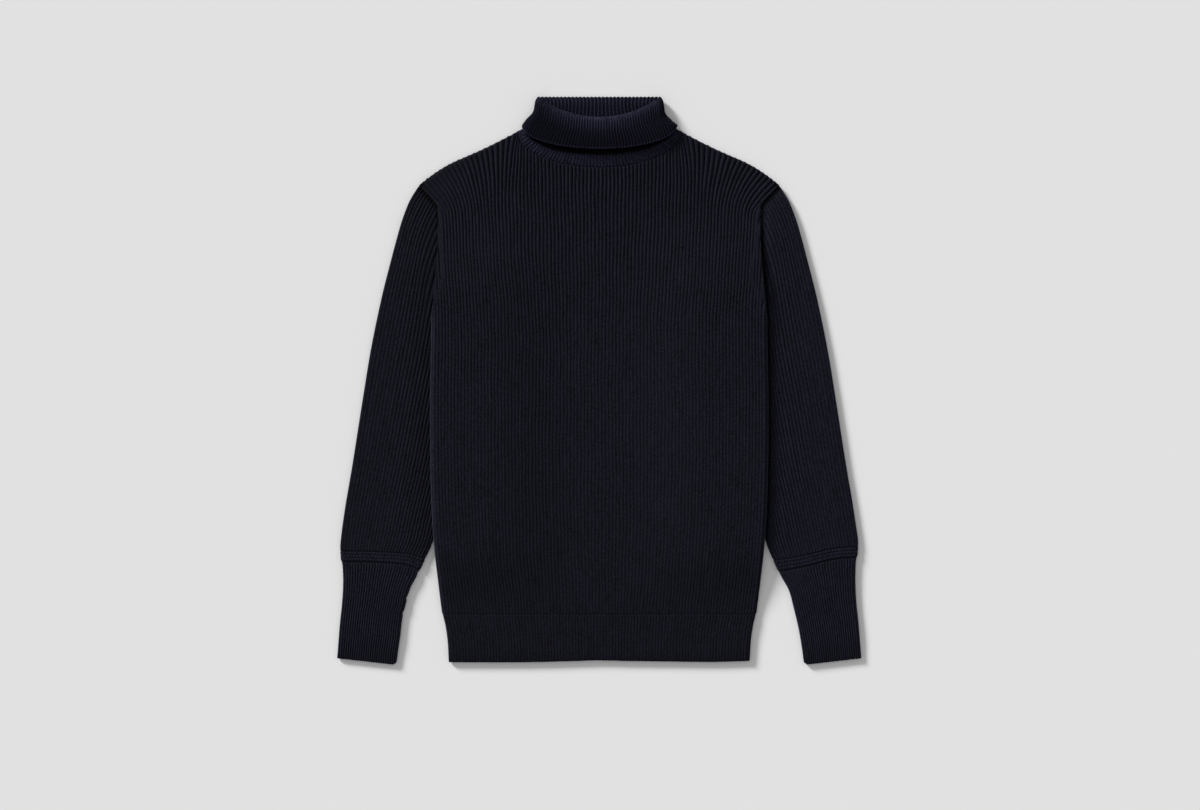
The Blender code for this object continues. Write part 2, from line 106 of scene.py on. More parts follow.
NECK_COLUMN_POWER = 9
SHOULDER_COLUMN = 87
SHOULDER_HALF_WIDTH = 237.0
SHOULDER_SLOPE = 0.47
SHOULDER_RUN_OUT = 7
NECK_RUN_OUT = 5
SHOULDER_ROUND_FROM = 184.0
SHOULDER_ROUND_DROP = 10.4
SHOULDER_HOLLOW = 2.4
SHOULDER_HOLLOW_AT = 152.0
SHOULDER_HOLLOW_REACH = 45.0
SHOULDER_CROWD = 0.25  # how much closer the ribs lie at the shoulder point
UNDERARM_UP = 455.0
ARMHOLE = (
    # body_column, sleeve_column, across, up; the last rows are tucked below the body
    (87, 0, 237, 626.2), (88, 8, 225, 612.5), (89, 16, 213, 599), (90, 19, 212, 582),
    (93, 24, 212.4, 542), (96, 28, 218.5, 475), (99, 30, 220, UNDERARM_UP), (None, 42, 197, 442),
    (None, 52, 171, 425), (None, 58, 157, 410),
)

# How far the tucked sleeves raise the body
LIFT = 6.9
LIFT_INSIDE = 34.0
LIFT_RAMP = 114.0
LIFT_TOP = 600.0
LIFT_TOP_RAMP = 115.0
LIFT_BOTTOM = 62.0
LIFT_BOTTOM_RAMP = 86.0

# Knit of the body
FRONT_POINTS = 6  # points across a rib
FRONT_ROW_STEP = 4.5
BACK_POINTS = 4
BACK_ROW_STEP = 12.0
INSIDE_COLUMNS = np.arange(-BODY_COLUMNS, BODY_COLUMNS + 1)
INSIDE_ROWS = np.array([0.0, 0.004, 0.02, 0.06, 0.14, 0.3, 0.5, 0.7, 0.9, 1.0])
UNEVENNESS = 0.22  # of the crests, on three waves along each rib
UNEVEN_LENGTHS = (23.0, 61.0, 9.0)  # for each radian
UNEVEN_TURN = 2.4  # radians that the waves turn from one rib to the next
UNEVEN_SECOND_TURN = 1.7  # times that turn, for the longest wave
HEM_FADE = 0.8  # share of the ribs that is left at the hem seam
NECK_FADE = 0.75  # the same at the neckline and the armholes
SHOULDER_FADE = 0.7  # the same at the shoulder seam
RIB_CONTRAST = (
    # up, share of the full depth and of the painted shade in the grooves
    (0, 0.26), (70, 0.28), (250, 0.34), (420, 0.42),
    (540, 0.62), (600, 0.8), (640, 1.15), (700, 1.15),
)
SHOULDER_CONTRAST = 0.9  # added where the ribs run along the shoulder's slope, as painted shade in the grooves where the light runs along them
SHOULDER_CONTRAST_AT = (212.0, 606.0)
SHOULDER_CONTRAST_REACH = 36.0

# Smooth strip along the inside of the armhole seam
STRIP_WIDTH = 2.4  # half-width
STRIP_INSET = 4.4  # of its middle from the seam
STRIP_HEIGHT = 0.9
STRIP_TONE = 0.3
STRIP_BULGE = {-1: 6.0, 1: 12.0}  # towards the middle, above the left and the right underarm
STRIP_BULGE_UP = 508.0
STRIP_BULGE_REACH = 26.0
STRIP_ENDS = ((462.0, 25.0), (604.0, -14.0))  # up, and how far up from there it fades in

# Brightness of the body's wool, with painted light along the sides and painted shade along the
# shoulders' edges
BODY_TONE = 0.91
YOKE_TONE = 0.04  # added in the yoke
YOKE_FROM = 540.0
YOKE_RAMP = 60.0
SIDE_TONE = 0.25  # painted highlight added along the sides' rounded folds
SIDE_TONE_WIDTH = 4.0  # also the distance of its middle from the side
LOW_SHADE = 0.16  # how much darker the wool lies at the hem
LOW_SHADE_TOP = 330.0
SHOULDER_SHADE = 0.3  # along the shoulders' upper edges
SHOULDER_SHADE_WIDTH = 7.0
SHOULDER_SHADE_FROM = 600.0
SEAM_SHADE = 0.75  # of the seam that slopes down from the shoulder point
SEAM_SHADE_WIDTH = 2.6
SEAM_SHADE_COLUMNS = 2.0  # before the shoulder point, where it starts
SEAM_SHADE_FROM = 596.0
SEAM_SHADE_RAMP = 6.0

# Creases of the body
CREASE_SHARE = 0.5  # of the heights below
CREASES = (
    # across, up, half_length, half_width, angle from the across direction, height
    (-128, 170, 95, 16, 96, -0.8), (-96, 250, 120, 22, 84, 0.6), (132, 160, 80, 18, 82, -0.7),
    (60, 130, 70, 20, 70, 0.5), (104, 300, 110, 24, 95, 0.5), (-30, 420, 90, 26, 12, -0.5),
    (70, 470, 70, 20, -18, 0.5), (-150, 500, 60, 14, 62, 0.7), (158, 505, 55, 13, -60, 0.6),
    (-105, 625, 34, 9, 84, 0.6), (119, 628, 38, 9, 96, 0.7), (10, 590, 80, 16, 3, -0.5),
)

# Tubes that lie flat
HEM_POINTS = 6
SLEEVE_POINTS = 8  # and on the cuffs
UNDER_INSETS = np.array([0.4, 1.0, 2.0, 3.2, 5.0])  # of the underside's points from the folds
UNDER_POINTS = 24  # between the innermost of them
INNER_POINTS = 12  # of each layer of the inside
INNER_RINGS = 14
INNER_DROP = 0.6  # of the inside of the upper layer
RELIEF_AT_FOLD = 0.4  # share of the relief on a fold
RELIEF_RAMP = 1.5  # over which the rest is reached

# Hem band
HEM_ROW_STEP = 3.2
HEM_WAVE = (
    # across, up; how the bound edge wavers
    (-198, -1.4), (-100, -1.4), (-30, 0.2), (0, 1.2),
    (30, 0.4), (90, -0.4), (150, -1), (198, 0.4),
)
HEM_TUCK = 0.5  # how far the seam draws the band below the front
HEM_TUCK_LENGTH = 2.5
HEM_SAG = 0.7
HEM_SAG_LENGTH = 13.0
HEM_WAVE_POWER = 4  # how late the waver sets in towards the edge
HEM_END_DROP = 1.3  # of its rounded edge

# Sleeves and cuffs
SLEEVE_COLUMNS = 58
SLEEVE_EDGES = (
    # up, outer, inner
    (626.2, 237, 150), (607, 248.8, 150), (596.6, 253.4, 150), (574, 261.4, 150),
    (515, 277.2, 150), (475, 287.1, 150), (410, 300.5, 157), (343, 311.5, 173),
    (257, 325, 192.7), (198, 335, 208.6), (154, 340.6, 220.4), (136, 340.6, 229.5),
)
SLEEVE_FAN_LENGTH = 70.0
SLEEVE_END_OUTER = 142.6
SLEEVE_END_INNER = 135.4
SLEEVE_ROW_STEP = 4.4
SLEEVE_SEAM_DIP = 0.6  # at the armhole seam
SLEEVE_SAG = {-1: 1.5, 1: 0.7}  # how far the sleeve slopes down to the body
SLEEVE_SAG_WIDTH = 32.0
SLEEVE_CONTRAST = (
    # distance from the body, share of the full depth and of the painted groove shade of the ribs on
    # the left and right
    (0, 0.5, 0.75), (30, 0.45, 0.65), (60, 0.24, 0.34), (100, 0.24, 0.34),
)
SLEEVE_TONE = {-1: 0.87, 1: 0.99}
# Depth, distance from the body and width of the painted shade on the sleeve beside it, and of the
# painted light that lifts the body's cast shadow there
SLEEVE_SHADE = {-1: (0.25, 0, 16), 1: (0.97, 2.2, 2.5)}
SLEEVE_SHADOW_FILL = {-1: (0, 9, 5), 1: (0.4, 9.5, 4.5)}
SLEEVE_RIM_SHADE = 0.25  # of the left sleeve's outer fold, which faces the light
SLEEVE_RIM_COLUMNS = 2.5
SLEEVE_SEAM_AT = 2.6  # the dark line of the seam, from the sleeve's end
SLEEVE_SEAM_WIDTH = 1.8
SLEEVE_SEAM_COLUMNS = 20
SLEEVE_LAP = 1.8  # of the sleeve's end under the front
SLEEVE_LAP_LENGTH = 4.0
SLEEVE_LAP_UP = 0.6  # share of the lap that goes up too
ARMHOLE_END_COLUMN = 30  # beyond it the sleeve is tucked below the body
ARMHOLE_END_RAMP = 2.0
SEAM_RISE = 0.8  # of the sleeve's end, as a share of the body's lift
SEAM_RISE_LENGTH = 2.4
CUFF_SEAM_SHIFT = {
    # share of the way from the outer to the inner fold, how far up from the model's seam
    -1: ((0, 1), (0.4, 3.4), (0.8, 3.6), (1, -2)),
    1: ((0, 7), (0.3, 6.4), (0.65, 0), (1, -4)),
}
SEAM_SHIFT_REACH = 45.0  # along the sleeve and the cuff
CUFF_COLUMNS = 54
CUFF_EDGES = (
    # outer_up, outer, inner, inner_up
    (142.9, 340.6, 229.8, 135.7), (139.5, 340.6, 231, 132), (136, 340.4, 232.6, 128.3),
    (132.5, 340, 234.4, 124.6), (128.5, 339, 236.6, 120.6), (122, 338, 240, 113.5),
    (101, 337.4, 249, 95), (76, 338.8, 255.2, 72), (46, 341.9, 262.3, 42),
    (16, 344.2, 267.6, 10), (3.4, 345.2, 269, -5.5),
)
CUFF_ROW_STEP = 2.2
CUFF_RIB_DEPTH = 0.8
CUFF_GROOVE = 0.3  # of it, below the level of the cloth
CUFF_CONTRAST = 0.5
CUFF_TONE = 1.04
CUFF_END_SHADE = 0.25  # near the bound end
CUFF_END_SHADE_LENGTH = 32.0
CUFF_END_DROP = 1.2  # of the rounded end
CUFF_SAG = 1.0  # towards the end
CUFF_SAG_LENGTH = 34.0
CUFF_SEAM_DIP = 0.3
LEFT_CUFF_FLARE = 2.5  # of its inner edge towards its end
FLARE_FROM = 62.0
FLARE_LENGTH = 35.0
PURL_ROWS = (2.2, 6.4, 10.6)  # below the top of the cuff
PURL_HEIGHT = 1.0
PURL_WIDTH = 1.5
PURL_BUMPS = 0.7  # share of it that comes and goes along a row
# painted light on the purl bumps and painted shade between them
PURL_TONE = 0.9
PURL_MEAN = 0.4  # height at which the wool has its own tone
PURL_ROW_STEP = 0.7
GARTER_BORDER = 13.8  # the groove below the purl
BORDER_WIDTH = 1.2
BORDER_DEPTH = 0.5
BORDER_SHADE = 0.2
GARTER_BAND = 15.0  # where the fine rib starts
GARTER_LEAD = 2.0  # how far before that the rib fades in
GARTER_RAMP = 3.0
FINE_ROWS_END = GARTER_BAND + 1.5
PLAIN_ROWS_START = GARTER_BAND + 2.0
CORNER_SHARE = 0.92  # of the way across, where the inner corner starts to round
CORNER_RISE = 4.5
CORNER_REACH = 9.0
CUFF_NICKS = (117.5, 83.0, 63.0)  # up; small nicks in the seam of the left cuff
NICK_DEPTH = 1.3
NICK_WIDTH = 2.2

# Collar
COLLAR_RIBS = 55
STAND_RIBS = 32  # that show inside the back of the collar
FRONT_COLLAR_POINTS = 7
BACK_COLLAR_POINTS = 6
NECK_SIDE_STEP = 1.25
BODY_SIDE_STEP = 2.4
COLLAR_BEND = 0.4  # dip of the curve for each half-width along which ribs lie even
CURVE_POINTS = 721
COLLAR_RIB_DEPTH = 1.3
COLLAR_GROOVE = 0.35  # of it, below the level of the cloth
COLLAR_SIDE_FADE = 0.02  # share of the half-width over which the ribs fade at the sides
MOST_RELIEF = 1.1  # share of the rib depth where the ribs are clearest
ELLIPSE = 0.5
FOLD_CURVE = 0.9
NECK_SIDE_ROWS = (
    # half_width, side_up, front_dip, back_dip, power, front_z, back_z, front_ribs, back_ribs
    (105.5, 697, 47.7, 7.3, ELLIPSE, 3.2, 2.2, 0, 0),
    (95.4, 702.5, 41, 6, ELLIPSE, 4.5, 4.4, 0, 0.5),
    (92.6, 707.5, 30, 4, 0.55, 5.3, 4.7, 0, 1),
    (88, 713, 27.5, 2, 0.65, 5.9, 4.8, 0, 1.6),
    (80.2, 722, 26, 0, 0.75, 6.6, 4.8, 0, 1.9),
    (77.2, 734, 26, 0, FOLD_CURVE, 7.4, 4.8, 0.4, 1.9),
    (79.8, 742.5, 27.1, 0, FOLD_CURVE, 10.4, 2.4, 0.4, 1.4),
    (83.8, 737.5, 26.2, 0, FOLD_CURVE, 13.4, 0, 0.4, 0),
    (87.4, 722, 26, 0, 0.75, 14.2, 0, 3, 0),
    (95.6, 713, 27.5, 0, 0.65, 13.8, 0, 4.5, 0),
    (101.9, 704.6, 29.4, 2.5, ELLIPSE, 12.8, 0, 4.5, 0),
    (102.4, 703.4, 30.2, 3.4, ELLIPSE, 12.4, 0.3, 1.6, 0),
)
BODY_SIDE_ROWS = (
    # the same columns for the side that is turned away from the neck, and on below the fold
    (108.4, 697, 48.6, 8.2, ELLIPSE, 4.4, 0.6, 0, 0),
    (106.6, 697.6, 46.9, 7.1, ELLIPSE, 5.2, 0.2, 0.45, 0),
    (97.6, 702, 41, 6, ELLIPSE, 6.6, 2.4, 0.45, 0),
    (94.8, 707, 30, 4, 0.55, 7.5, 2.6, 0.3, 0),
    (90.4, 713, 27.5, 2, 0.65, 8.1, 2.6, 0, 0),
    (82.6, 722, 26, 0, 0.75, 8.8, 2.6, 0, 0),
    (80, 732, 26, 0, FOLD_CURVE, 9.6, 2.6, 0, 0),
    (81.8, 732, 26, 0, FOLD_CURVE, 10.2, 2.2, 0, 0),
    (85.2, 722, 26, 0, 0.75, 11.2, 2.2, 0, 0),
    (93.2, 713, 27.5, 0, 0.65, 11.6, 2.2, 0, 0),
    (100, 704.5, 30, 3, ELLIPSE, 10.6, 2.1, 0, 0),
)
# Shift across, up and reach of a dent and of the pointed corner on the collar's right
RIGHT_FLANK = ((-2.2, 715.5, 7.0), (1.8, 705.0, 2.6))
FLANK_POWER = 6  # how closely they keep to the flank
EDGE_ROLL = 0.7  # how far the collar's bound edge stands out
EDGE_ROLL_WIDTH = 1.9
# painted highlight on the rolled bound edge
EDGE_TONE = 2.4
FLAP_EDGE = (101.9, 704.6, 29.4)  # half_width, side_up and front_dip of the turned-down edge
SHADE_REACH = 10.8  # below that edge, where the stand lies in deep shade
# painted shadow: how dark the stand is made in that shade
SHADE_TONE = 0.97
SHADE_SOFTNESS = 1.6
FRONT_TONE = 1.55  # the collar's finer knit catches more light than the body
FOLD_ROW = 7
FOLD_TONE = 1.0  # painted highlight added on a band along the middle of the fold, which faces the light
FOLD_MIDDLE = 0.6  # how far to either side that middle reaches
FOLD_END_SHADE = 0.35  # taken off at both ends of the band
FOLD_BELOW = 3.0  # of that band's middle below the fold
FOLD_REACH = 13.0
FLAP_TONE = -0.45  # painted shade added on the turned-down part, which tilts away from the light
FLAP_FROM = 9.0  # below the fold
FLAP_RAMP = 8.0
STAND_TONE = 1.7
BASE_TONE = 0.2  # painted light added below that shade, against the flap's cast shadow on the base

# Wool
NAVY_CREST = (0.0086, 0.0085, 0.0165)
# painted shade: the darker navy of the grooves between the ribs, where little light reaches
NAVY_GROOVE = (0.0014, 0.0014, 0.0026)
LEG_RISE = 1.5  # how steeply the two legs of a stitch rise, in stitches a rib
CREST_POWER = 3.0
STITCH_DEPTH = 0.3
SPLIT_DEPTH = 0.3  # of the line between the two legs
SPLIT_SHARPNESS = 12.0
PLAIN_TONE = 0.6  # where there are no ribs
NOISE_DETAIL = 2.0
FUZZ = 2.2
FUZZ_SCALE = 430.0
PATCHES = 0.3
PATCH_SCALE = 38.0
STREAKS = 0.7
STREAK_SHAPE = (0.9, 0.1, 0.0)  # noise a rib and a stitch
ROUGHNESS = 0.88
SPECULAR = 0.06
SHEEN = 0.12
COLLAR_SPECULAR = 0.03
COLLAR_SHEEN = 0.03
SHEEN_ROUGHNESS = 0.45
SHEEN_TINT = (0.55, 0.6, 0.85, 1.0)
BUMP_DEPTH = 0.0007  # in metres
BUMP_STRENGTH = 0.6
FUZZ_BUMP = 0.3

# Stage, in metres
FLOOR = (0.80, 0.80, 0.80)
FLOOR_SIZE = 12.0
FRAME_WIDTH = 1.581  # of the photo, on the floor
FRAME_CENTRE = (0.001, -0.0319)
CAMERA_DISTANCE = 4.4
SENSOR_WIDTH = 36.0  # in millimetres
KEY_ELEVATION = 17.0  # degrees above the floor, from the upper left
KEY_TURN = -135.0  # its light falls towards the lower right
KEY_STRENGTH = 5.2
KEY_ANGLE = 12.0
SKY = 0.46


# Tables and curves

def smooth(share):
    """An S-shaped step from 0 to 1."""
    share = np.clip(share, 0.0, 1.0)
    return share * share * (3.0 - 2.0 * share)


def bell(distance, width):
    """A bump of height 1 that has died away at about twice its width."""
    return np.exp(-(distance / width) ** 2)


def table_columns(table, key_column, value_column):
    """Two columns of a table in the order of the first; rows without a key are left out."""
    pairs = [(row[key_column], row[value_column]) for row in table if row[key_column] is not None]
    return np.array(sorted(pairs), float).T


def read_table(table, key, value_column=1, key_column=0):
    """Values at the keys, on a smooth curve through the table's rows."""
    keys, values = table_columns(table, key_column, value_column)
    before = np.maximum(np.arange(len(keys)) - 1, 0)
    after = np.minimum(np.arange(len(keys)) + 1, len(keys) - 1)
    slopes = (values[after] - values[before]) / (keys[after] - keys[before])
    key = np.clip(key, keys[0], keys[-1])
    low = np.clip(np.searchsorted(keys, key, side="right") - 1, 0, len(keys) - 2)
    span = keys[low + 1] - keys[low]
    share = (key - keys[low]) / span
    step = smooth(share)
    leave = share * (1.0 - share) ** 2 * span * slopes[low]
    arrive = share ** 2 * (1.0 - share) * span * slopes[low + 1]
    return values[low] * (1.0 - step) + values[low + 1] * step + leave - arrive


def read_line(table, key, value_column=1, key_column=0):
    """Values at the keys, on straight lines between the table's rows."""
    return np.interp(key, *table_columns(table, key_column, value_column))


def rounded(distance, radius):
    """Share of its full height that cloth with a rounded edge has at a distance from the edge."""
    inward = np.clip(distance / radius, 0.0, 1.0)
    return np.sqrt(1.0 - (1.0 - inward) ** 2)


def rib_crest(column, power):
    """Round crests on the odd columns; the grooves on the even ones are narrow at high powers."""
    return 1.0 - np.abs(np.cos(np.pi * column / 2.0)) ** power


# Body

def body_lift(across, up):
    """How far the tucked sleeves raise the body off the floor."""
    side = smooth((np.abs(across) - LIFT_INSIDE) / LIFT_RAMP)
    below_armhole = smooth((LIFT_TOP - up) / LIFT_TOP_RAMP)
    above_hem = smooth((up - LIFT_BOTTOM) / LIFT_BOTTOM_RAMP)
    return LIFT * side * below_armhole * above_hem


def top_edge(column, neck_depth):
    """Where the columns of a body panel end: on the neckline, the shoulder or the armhole."""
    side = np.sign(column)
    column = np.abs(column)
    share = np.clip(column / NECK_COLUMN, 0.0, 1.0)
    crowd = (NECK_COLUMN_SPREAD - 1.0) * share ** NECK_COLUMN_POWER
    share = np.minimum(NECK_COLUMN_SPREAD * share - crowd, 1.0)
    neck = NECK_HALF_WIDTH * share, NECK_UP - neck_depth * np.sqrt(1.0 - share ** 2)
    share = (column - NECK_COLUMN) / (SHOULDER_COLUMN - NECK_COLUMN)
    share = share + SHOULDER_CROWD * share * (1.0 - share)
    out = NECK_HALF_WIDTH + (SHOULDER_HALF_WIDTH - NECK_HALF_WIDTH) * share
    rounding = np.maximum(out - SHOULDER_ROUND_FROM, 0.0)
    rounding = SHOULDER_ROUND_DROP * (rounding / (SHOULDER_HALF_WIDTH - SHOULDER_ROUND_FROM)) ** 2
    rounding = rounding + SHOULDER_HOLLOW * bell(out - SHOULDER_HOLLOW_AT, SHOULDER_HOLLOW_REACH)
    shoulder = out, NECK_UP - SHOULDER_SLOPE * (out - NECK_HALF_WIDTH) - rounding
    armhole = read_line(ARMHOLE, column, 2), read_line(ARMHOLE, column, 3)
    parts = (column <= NECK_COLUMN, column <= SHOULDER_COLUMN)
    across, up = (np.select(parts, ends[:2], ends[2]) for ends in zip(neck, shoulder, armhole))
    return side * across, up


def even_place(column, up):
    """Distance across of a column where no edge bends it, wider spaced in the middle."""
    share = column / BODY_COLUMNS
    rise = smooth((up - SPREAD_FROM) / SPREAD_LENGTH)
    spread = MIDDLE_SPREAD_LOW + (MIDDLE_SPREAD_HIGH - MIDDLE_SPREAD_LOW) * rise
    spread = spread * smooth(up / SPREAD_LENGTH)
    return read_table(BODY_SIDE, up) * share * (1.0 + spread * (1.0 - share ** 2))


def wander(column, up):
    """Slow sideways waves of the ribs, from -1 to 1."""
    rises = [up / length for length in WANDER_LENGTHS]
    turns = [column / columns for columns in WANDER_COLUMNS]
    slow = np.sin(rises[0] + turns[0]) + np.sin(rises[1] - turns[1])
    return (slow + np.sin(rises[2] + WANDER_WARP * np.sin(turns[2]))) / 3.0


def panel_place(column, along, neck_depth):
    """Place on a body panel seen from above; along runs from 0 at the top edge to 1 at the hem."""
    top_across, top_up = top_edge(column, neck_depth)
    up = top_up + (HEM_SEAM - SEAM_LAP / 2 - top_up) * along
    fan_length = read_line(FAN, np.abs(column))
    fan_power = read_line(FAN, np.abs(column), 2)
    bend = np.maximum(1.0 - (top_up - up) / fan_length, 0.0) ** fan_power
    across = even_place(column, up) + (top_across - even_place(column, top_up)) * bend
    inside = 1.0 - (column / BODY_COLUMNS) ** WANDER_SIDE_POWER
    free = inside * smooth((top_up - up) / WANDER_TOP_FADE)
    return across + WANDER * wander(column, up) * free, up


def shoulder_share(column):
    """1 where a column ends at the shoulder seam, running out to 0 before the armhole."""
    return 1.0 - smooth((np.abs(column) - SHOULDER_COLUMN + SHOULDER_RUN_OUT) / SHOULDER_RUN_OUT)


def past_neckline(column):
    """0 where a column ends at the neckline, rising to 1 beyond it."""
    return smooth((np.abs(column) - NECK_COLUMN) / NECK_RUN_OUT)


def side_distance(column):
    """How far a column lies from the side, where the ribs are evenly spaced."""
    return (BODY_COLUMNS - np.abs(column)) * HEM_HALF_WIDTH / BODY_COLUMNS


def panel_fold(column, up, neck_depth):
    """Share of its full height that a body panel has near its folded sides and shoulders."""
    _, top_up = top_edge(column, neck_depth)
    on_shoulder = shoulder_share(column) * past_neckline(column)
    shoulder = 1.0 - on_shoulder * (1.0 - rounded(top_up - up, FOLD_ROUND))
    return np.minimum(rounded(side_distance(column), FOLD_ROUND), shoulder)


# Meshes

def grid(across, up, height):
    """Points of a grid, rows by columns, from arrays that fit each other."""
    return np.stack(np.broadcast_arrays(across, up, height), axis=2).astype(float)


def raised(points, relief, closed, top_columns):
    """The grid moved out along its normals by the relief; its first columns face up."""
    if closed:
        sideways = np.roll(points, -1, axis=1) - np.roll(points, 1, axis=1)
    else:
        sideways = np.gradient(points, axis=1)
    normals = np.cross(np.gradient(points, axis=0), sideways)
    normals /= np.maximum(np.linalg.norm(normals, axis=2, keepdims=True), 1e-9)
    if normals[:, :top_columns, 2].mean() < 0.0:
        normals = -normals
    moved = points + normals * relief[:, :, None]
    moved[:, :, 2] = np.maximum(moved[:, :, 2], 0.0)
    return moved


def stitches_along(points):
    """How many stitches each point of a grid lies above its last row."""
    steps = np.linalg.norm(np.diff(points, axis=0), axis=2)
    above = np.cumsum(steps[::-1], axis=0)[::-1]
    return np.vstack((above, np.zeros(points.shape[1]))) / STITCH


def grid_faces(indices, closed):
    """Four-cornered faces of a grid of vertex indices."""
    if closed:
        indices = np.hstack((indices, indices[:, :1]))
    corners = (indices[:-1, :-1], indices[:-1, 1:], indices[1:, 1:], indices[1:, :-1])
    return np.stack(corners, axis=2).reshape(-1, 4).tolist()


def rim_faces(row, row_shares, other, other_shares, closed):
    """Triangles between two rows of vertices, each with its shares of the way along the row."""
    if closed:
        row, row_shares = [*row, row[0]], [*row_shares, 1.0]
        other, other_shares = [*other, other[0]], [*other_shares, 1.0]
    faces = []
    i = j = 0
    while i + 1 < len(row) or j + 1 < len(other):
        row_is_behind = i + 1 < len(row) and (
            j + 1 == len(other) or row_shares[i + 1] <= other_shares[j + 1]
        )
        if row_is_behind:
            faces.append((row[i], row[i + 1], other[j]))
            i += 1
        else:
            faces.append((row[i], other[j + 1], other[j]))
            j += 1
    return [[int(index) for index in face] for face in faces]


class Layer:
    """One side of a cloth: points, knit coordinates, brightness and shares of the way along."""

    def __init__(self, points, ribs, shares, row_shares=None, strength=0.0, tone=1.0):
        self.points = points
        self.shares = shares
        self.row_shares = row_shares
        self.knit = grid(ribs, stitches_along(points), strength)
        self.tone = np.broadcast_to(tone, points.shape[:2])


def add_object(name, data):
    """A new object in the scene."""
    item = bpy.data.objects.new(name, data)
    bpy.context.scene.collection.objects.link(item)
    return item


def make_cloth(name, face, inside, closed, material):
    """A closed shell of cloth between its face and its inside."""
    layers = (face, inside)
    indices = [np.arange(layer.tone.size).reshape(layer.tone.shape) for layer in layers]
    indices[1] += face.tone.size
    faces = grid_faces(indices[0], closed) + grid_faces(indices[1], closed)
    for end in (0, -1):
        faces += rim_faces(indices[0][end], face.shares, indices[1][end], inside.shares, closed)
        if not closed:
            faces += rim_faces(
                indices[0][:, end], face.row_shares, indices[1][:, end], inside.row_shares, False
            )
    vertices = np.concatenate([layer.points.reshape(-1, 3) for layer in layers])
    vertices[:, 1] -= TOTAL_LENGTH / 2 - CUFF_OVERHANG
    mesh = bpy.data.meshes.new(name)
    mesh.from_pydata((vertices * METRES).tolist(), [], faces)
    knit = np.hstack([layer.knit.ravel() for layer in layers])
    mesh.attributes.new("knit", "FLOAT_VECTOR", "POINT").data.foreach_set("vector", knit)
    tones = np.hstack([layer.tone.ravel() for layer in layers])
    mesh.attributes.new("tone", "FLOAT", "POINT").data.foreach_set("value", tones)
    shell = bmesh.new()
    shell.from_mesh(mesh)
    bmesh.ops.recalc_face_normals(shell, faces=shell.faces)
    shell.to_mesh(mesh)
    shell.free()
    mesh.shade_smooth()
    mesh.materials.append(material)
    return add_object(name, mesh)


def row_shares(length, step):
    """Shares of the way along a piece, closely spaced at both of its ends."""
    end = length - EDGE_STEPS[::-1]
    count = round((end[0] - EDGE_STEPS[-1]) / step) + 1
    middle = np.linspace(EDGE_STEPS[-1], end[0], count)[1:-1]
    return np.hstack((EDGE_STEPS, middle, end)) / length


def crease_height(across, up):
    """Height of soft ridges and troughs at places seen from above."""
    total = np.zeros(np.broadcast(across, up).shape)
    for centre_across, centre_up, half_length, half_width, angle, height in CREASES:
        turn = math.radians(angle)
        right, ahead = across - centre_across, up - centre_up
        lengthwise = right * math.cos(turn) + ahead * math.sin(turn)
        sideways = ahead * math.cos(turn) - right * math.sin(turn)
        total += height * bell(lengthwise, half_length) * bell(sideways, half_width)
    return CREASE_SHARE * total


# Pieces

def unevenness(column, up):
    """Differences between the ribs and along each of them, from -1 to 1."""
    turn = UNEVEN_TURN * np.floor(column / 2.0)
    middle, slow, fast = (up / length for length in UNEVEN_LENGTHS)
    waves = np.sin(turn + middle) + np.sin(UNEVEN_SECOND_TURN * turn - slow) + np.sin(fast - turn)
    return waves / 3.0


def seam_fade(distance, left):
    """Share of the ribs at a distance from a seam, on which a given share of them is left."""
    return left + (1.0 - left) * smooth(distance / SEAM_FADE)


def rib_relief(column, up, depth, fade):
    """Relief of the ribs, faded towards the seams."""
    crest = rib_crest(column, BODY_CREST) * (1.0 + UNEVENNESS * unevenness(column, up))
    return (RIB - depth + depth * crest) * fade - SEAM_DIP * (1.0 - fade)


def armhole_across(up):
    """Half-width of the front at the armhole seam, or at the side below it."""
    return read_line([row for row in ARMHOLE if row[0] is not None], up, 2, 3)


def armhole_strip(across, up):
    """1 on the smooth strip that runs along the inside of the armhole seam."""
    inset = armhole_across(up) - np.abs(across)
    bulge = np.where(across < 0.0, STRIP_BULGE[-1], STRIP_BULGE[1])
    middle = STRIP_INSET + bulge * bell(up - STRIP_BULGE_UP, STRIP_BULGE_REACH)
    low, high = (smooth((up - end) / fade) for end, fade in STRIP_ENDS)
    return bell(inset - middle, STRIP_WIDTH) * (low * high)


def panel_inside(neck_depth, height):
    """The plain inside of a body panel."""
    column, along = INSIDE_COLUMNS[None, :], INSIDE_ROWS[:, None]
    across, up = panel_place(column, along, neck_depth)
    narrowed = across * (1.0 - WALL / HEM_HALF_WIDTH)
    points = grid(narrowed, up, height + body_lift(across, up))
    points[0, :, 1] -= WALL * shoulder_share(INSIDE_COLUMNS)
    return Layer(points, column / 2, panel_shares(INSIDE_COLUMNS), INSIDE_ROWS)


def panel_shares(columns):
    """How far across a body panel the columns lie, from 0 at the left to 1 at the right."""
    return (columns + BODY_COLUMNS) / (2 * BODY_COLUMNS)


def panel_grid(points_per_rib, row_step, neck_depth):
    """Columns and rows of a body panel, where they lie, and their share of its full height."""
    columns = np.linspace(-BODY_COLUMNS, BODY_COLUMNS, BODY_COLUMNS * points_per_rib + 1)
    rows = row_shares(NECK_UP - neck_depth - HEM_SEAM, row_step)
    across, up = panel_place(columns[None, :], rows[:, None], neck_depth)
    return columns, rows, across, up, panel_fold(columns[None, :], up, neck_depth)


def front_relief(column, up, top_up, strip):
    """The ribs of the front, faded towards its seams and smooth on the strip."""
    fade = seam_fade(top_up - up, NECK_FADE) * seam_fade(up - HEM_SEAM, HEM_FADE)
    past_neck = np.abs(column) > NECK_COLUMN + 1
    fade = np.maximum(fade, SHOULDER_FADE * shoulder_share(column) * past_neck)
    relief = rib_relief(column, up, RIB_DEPTH * read_line(RIB_CONTRAST, up), fade)
    return relief * (1.0 - strip) + STRIP_HEIGHT * strip


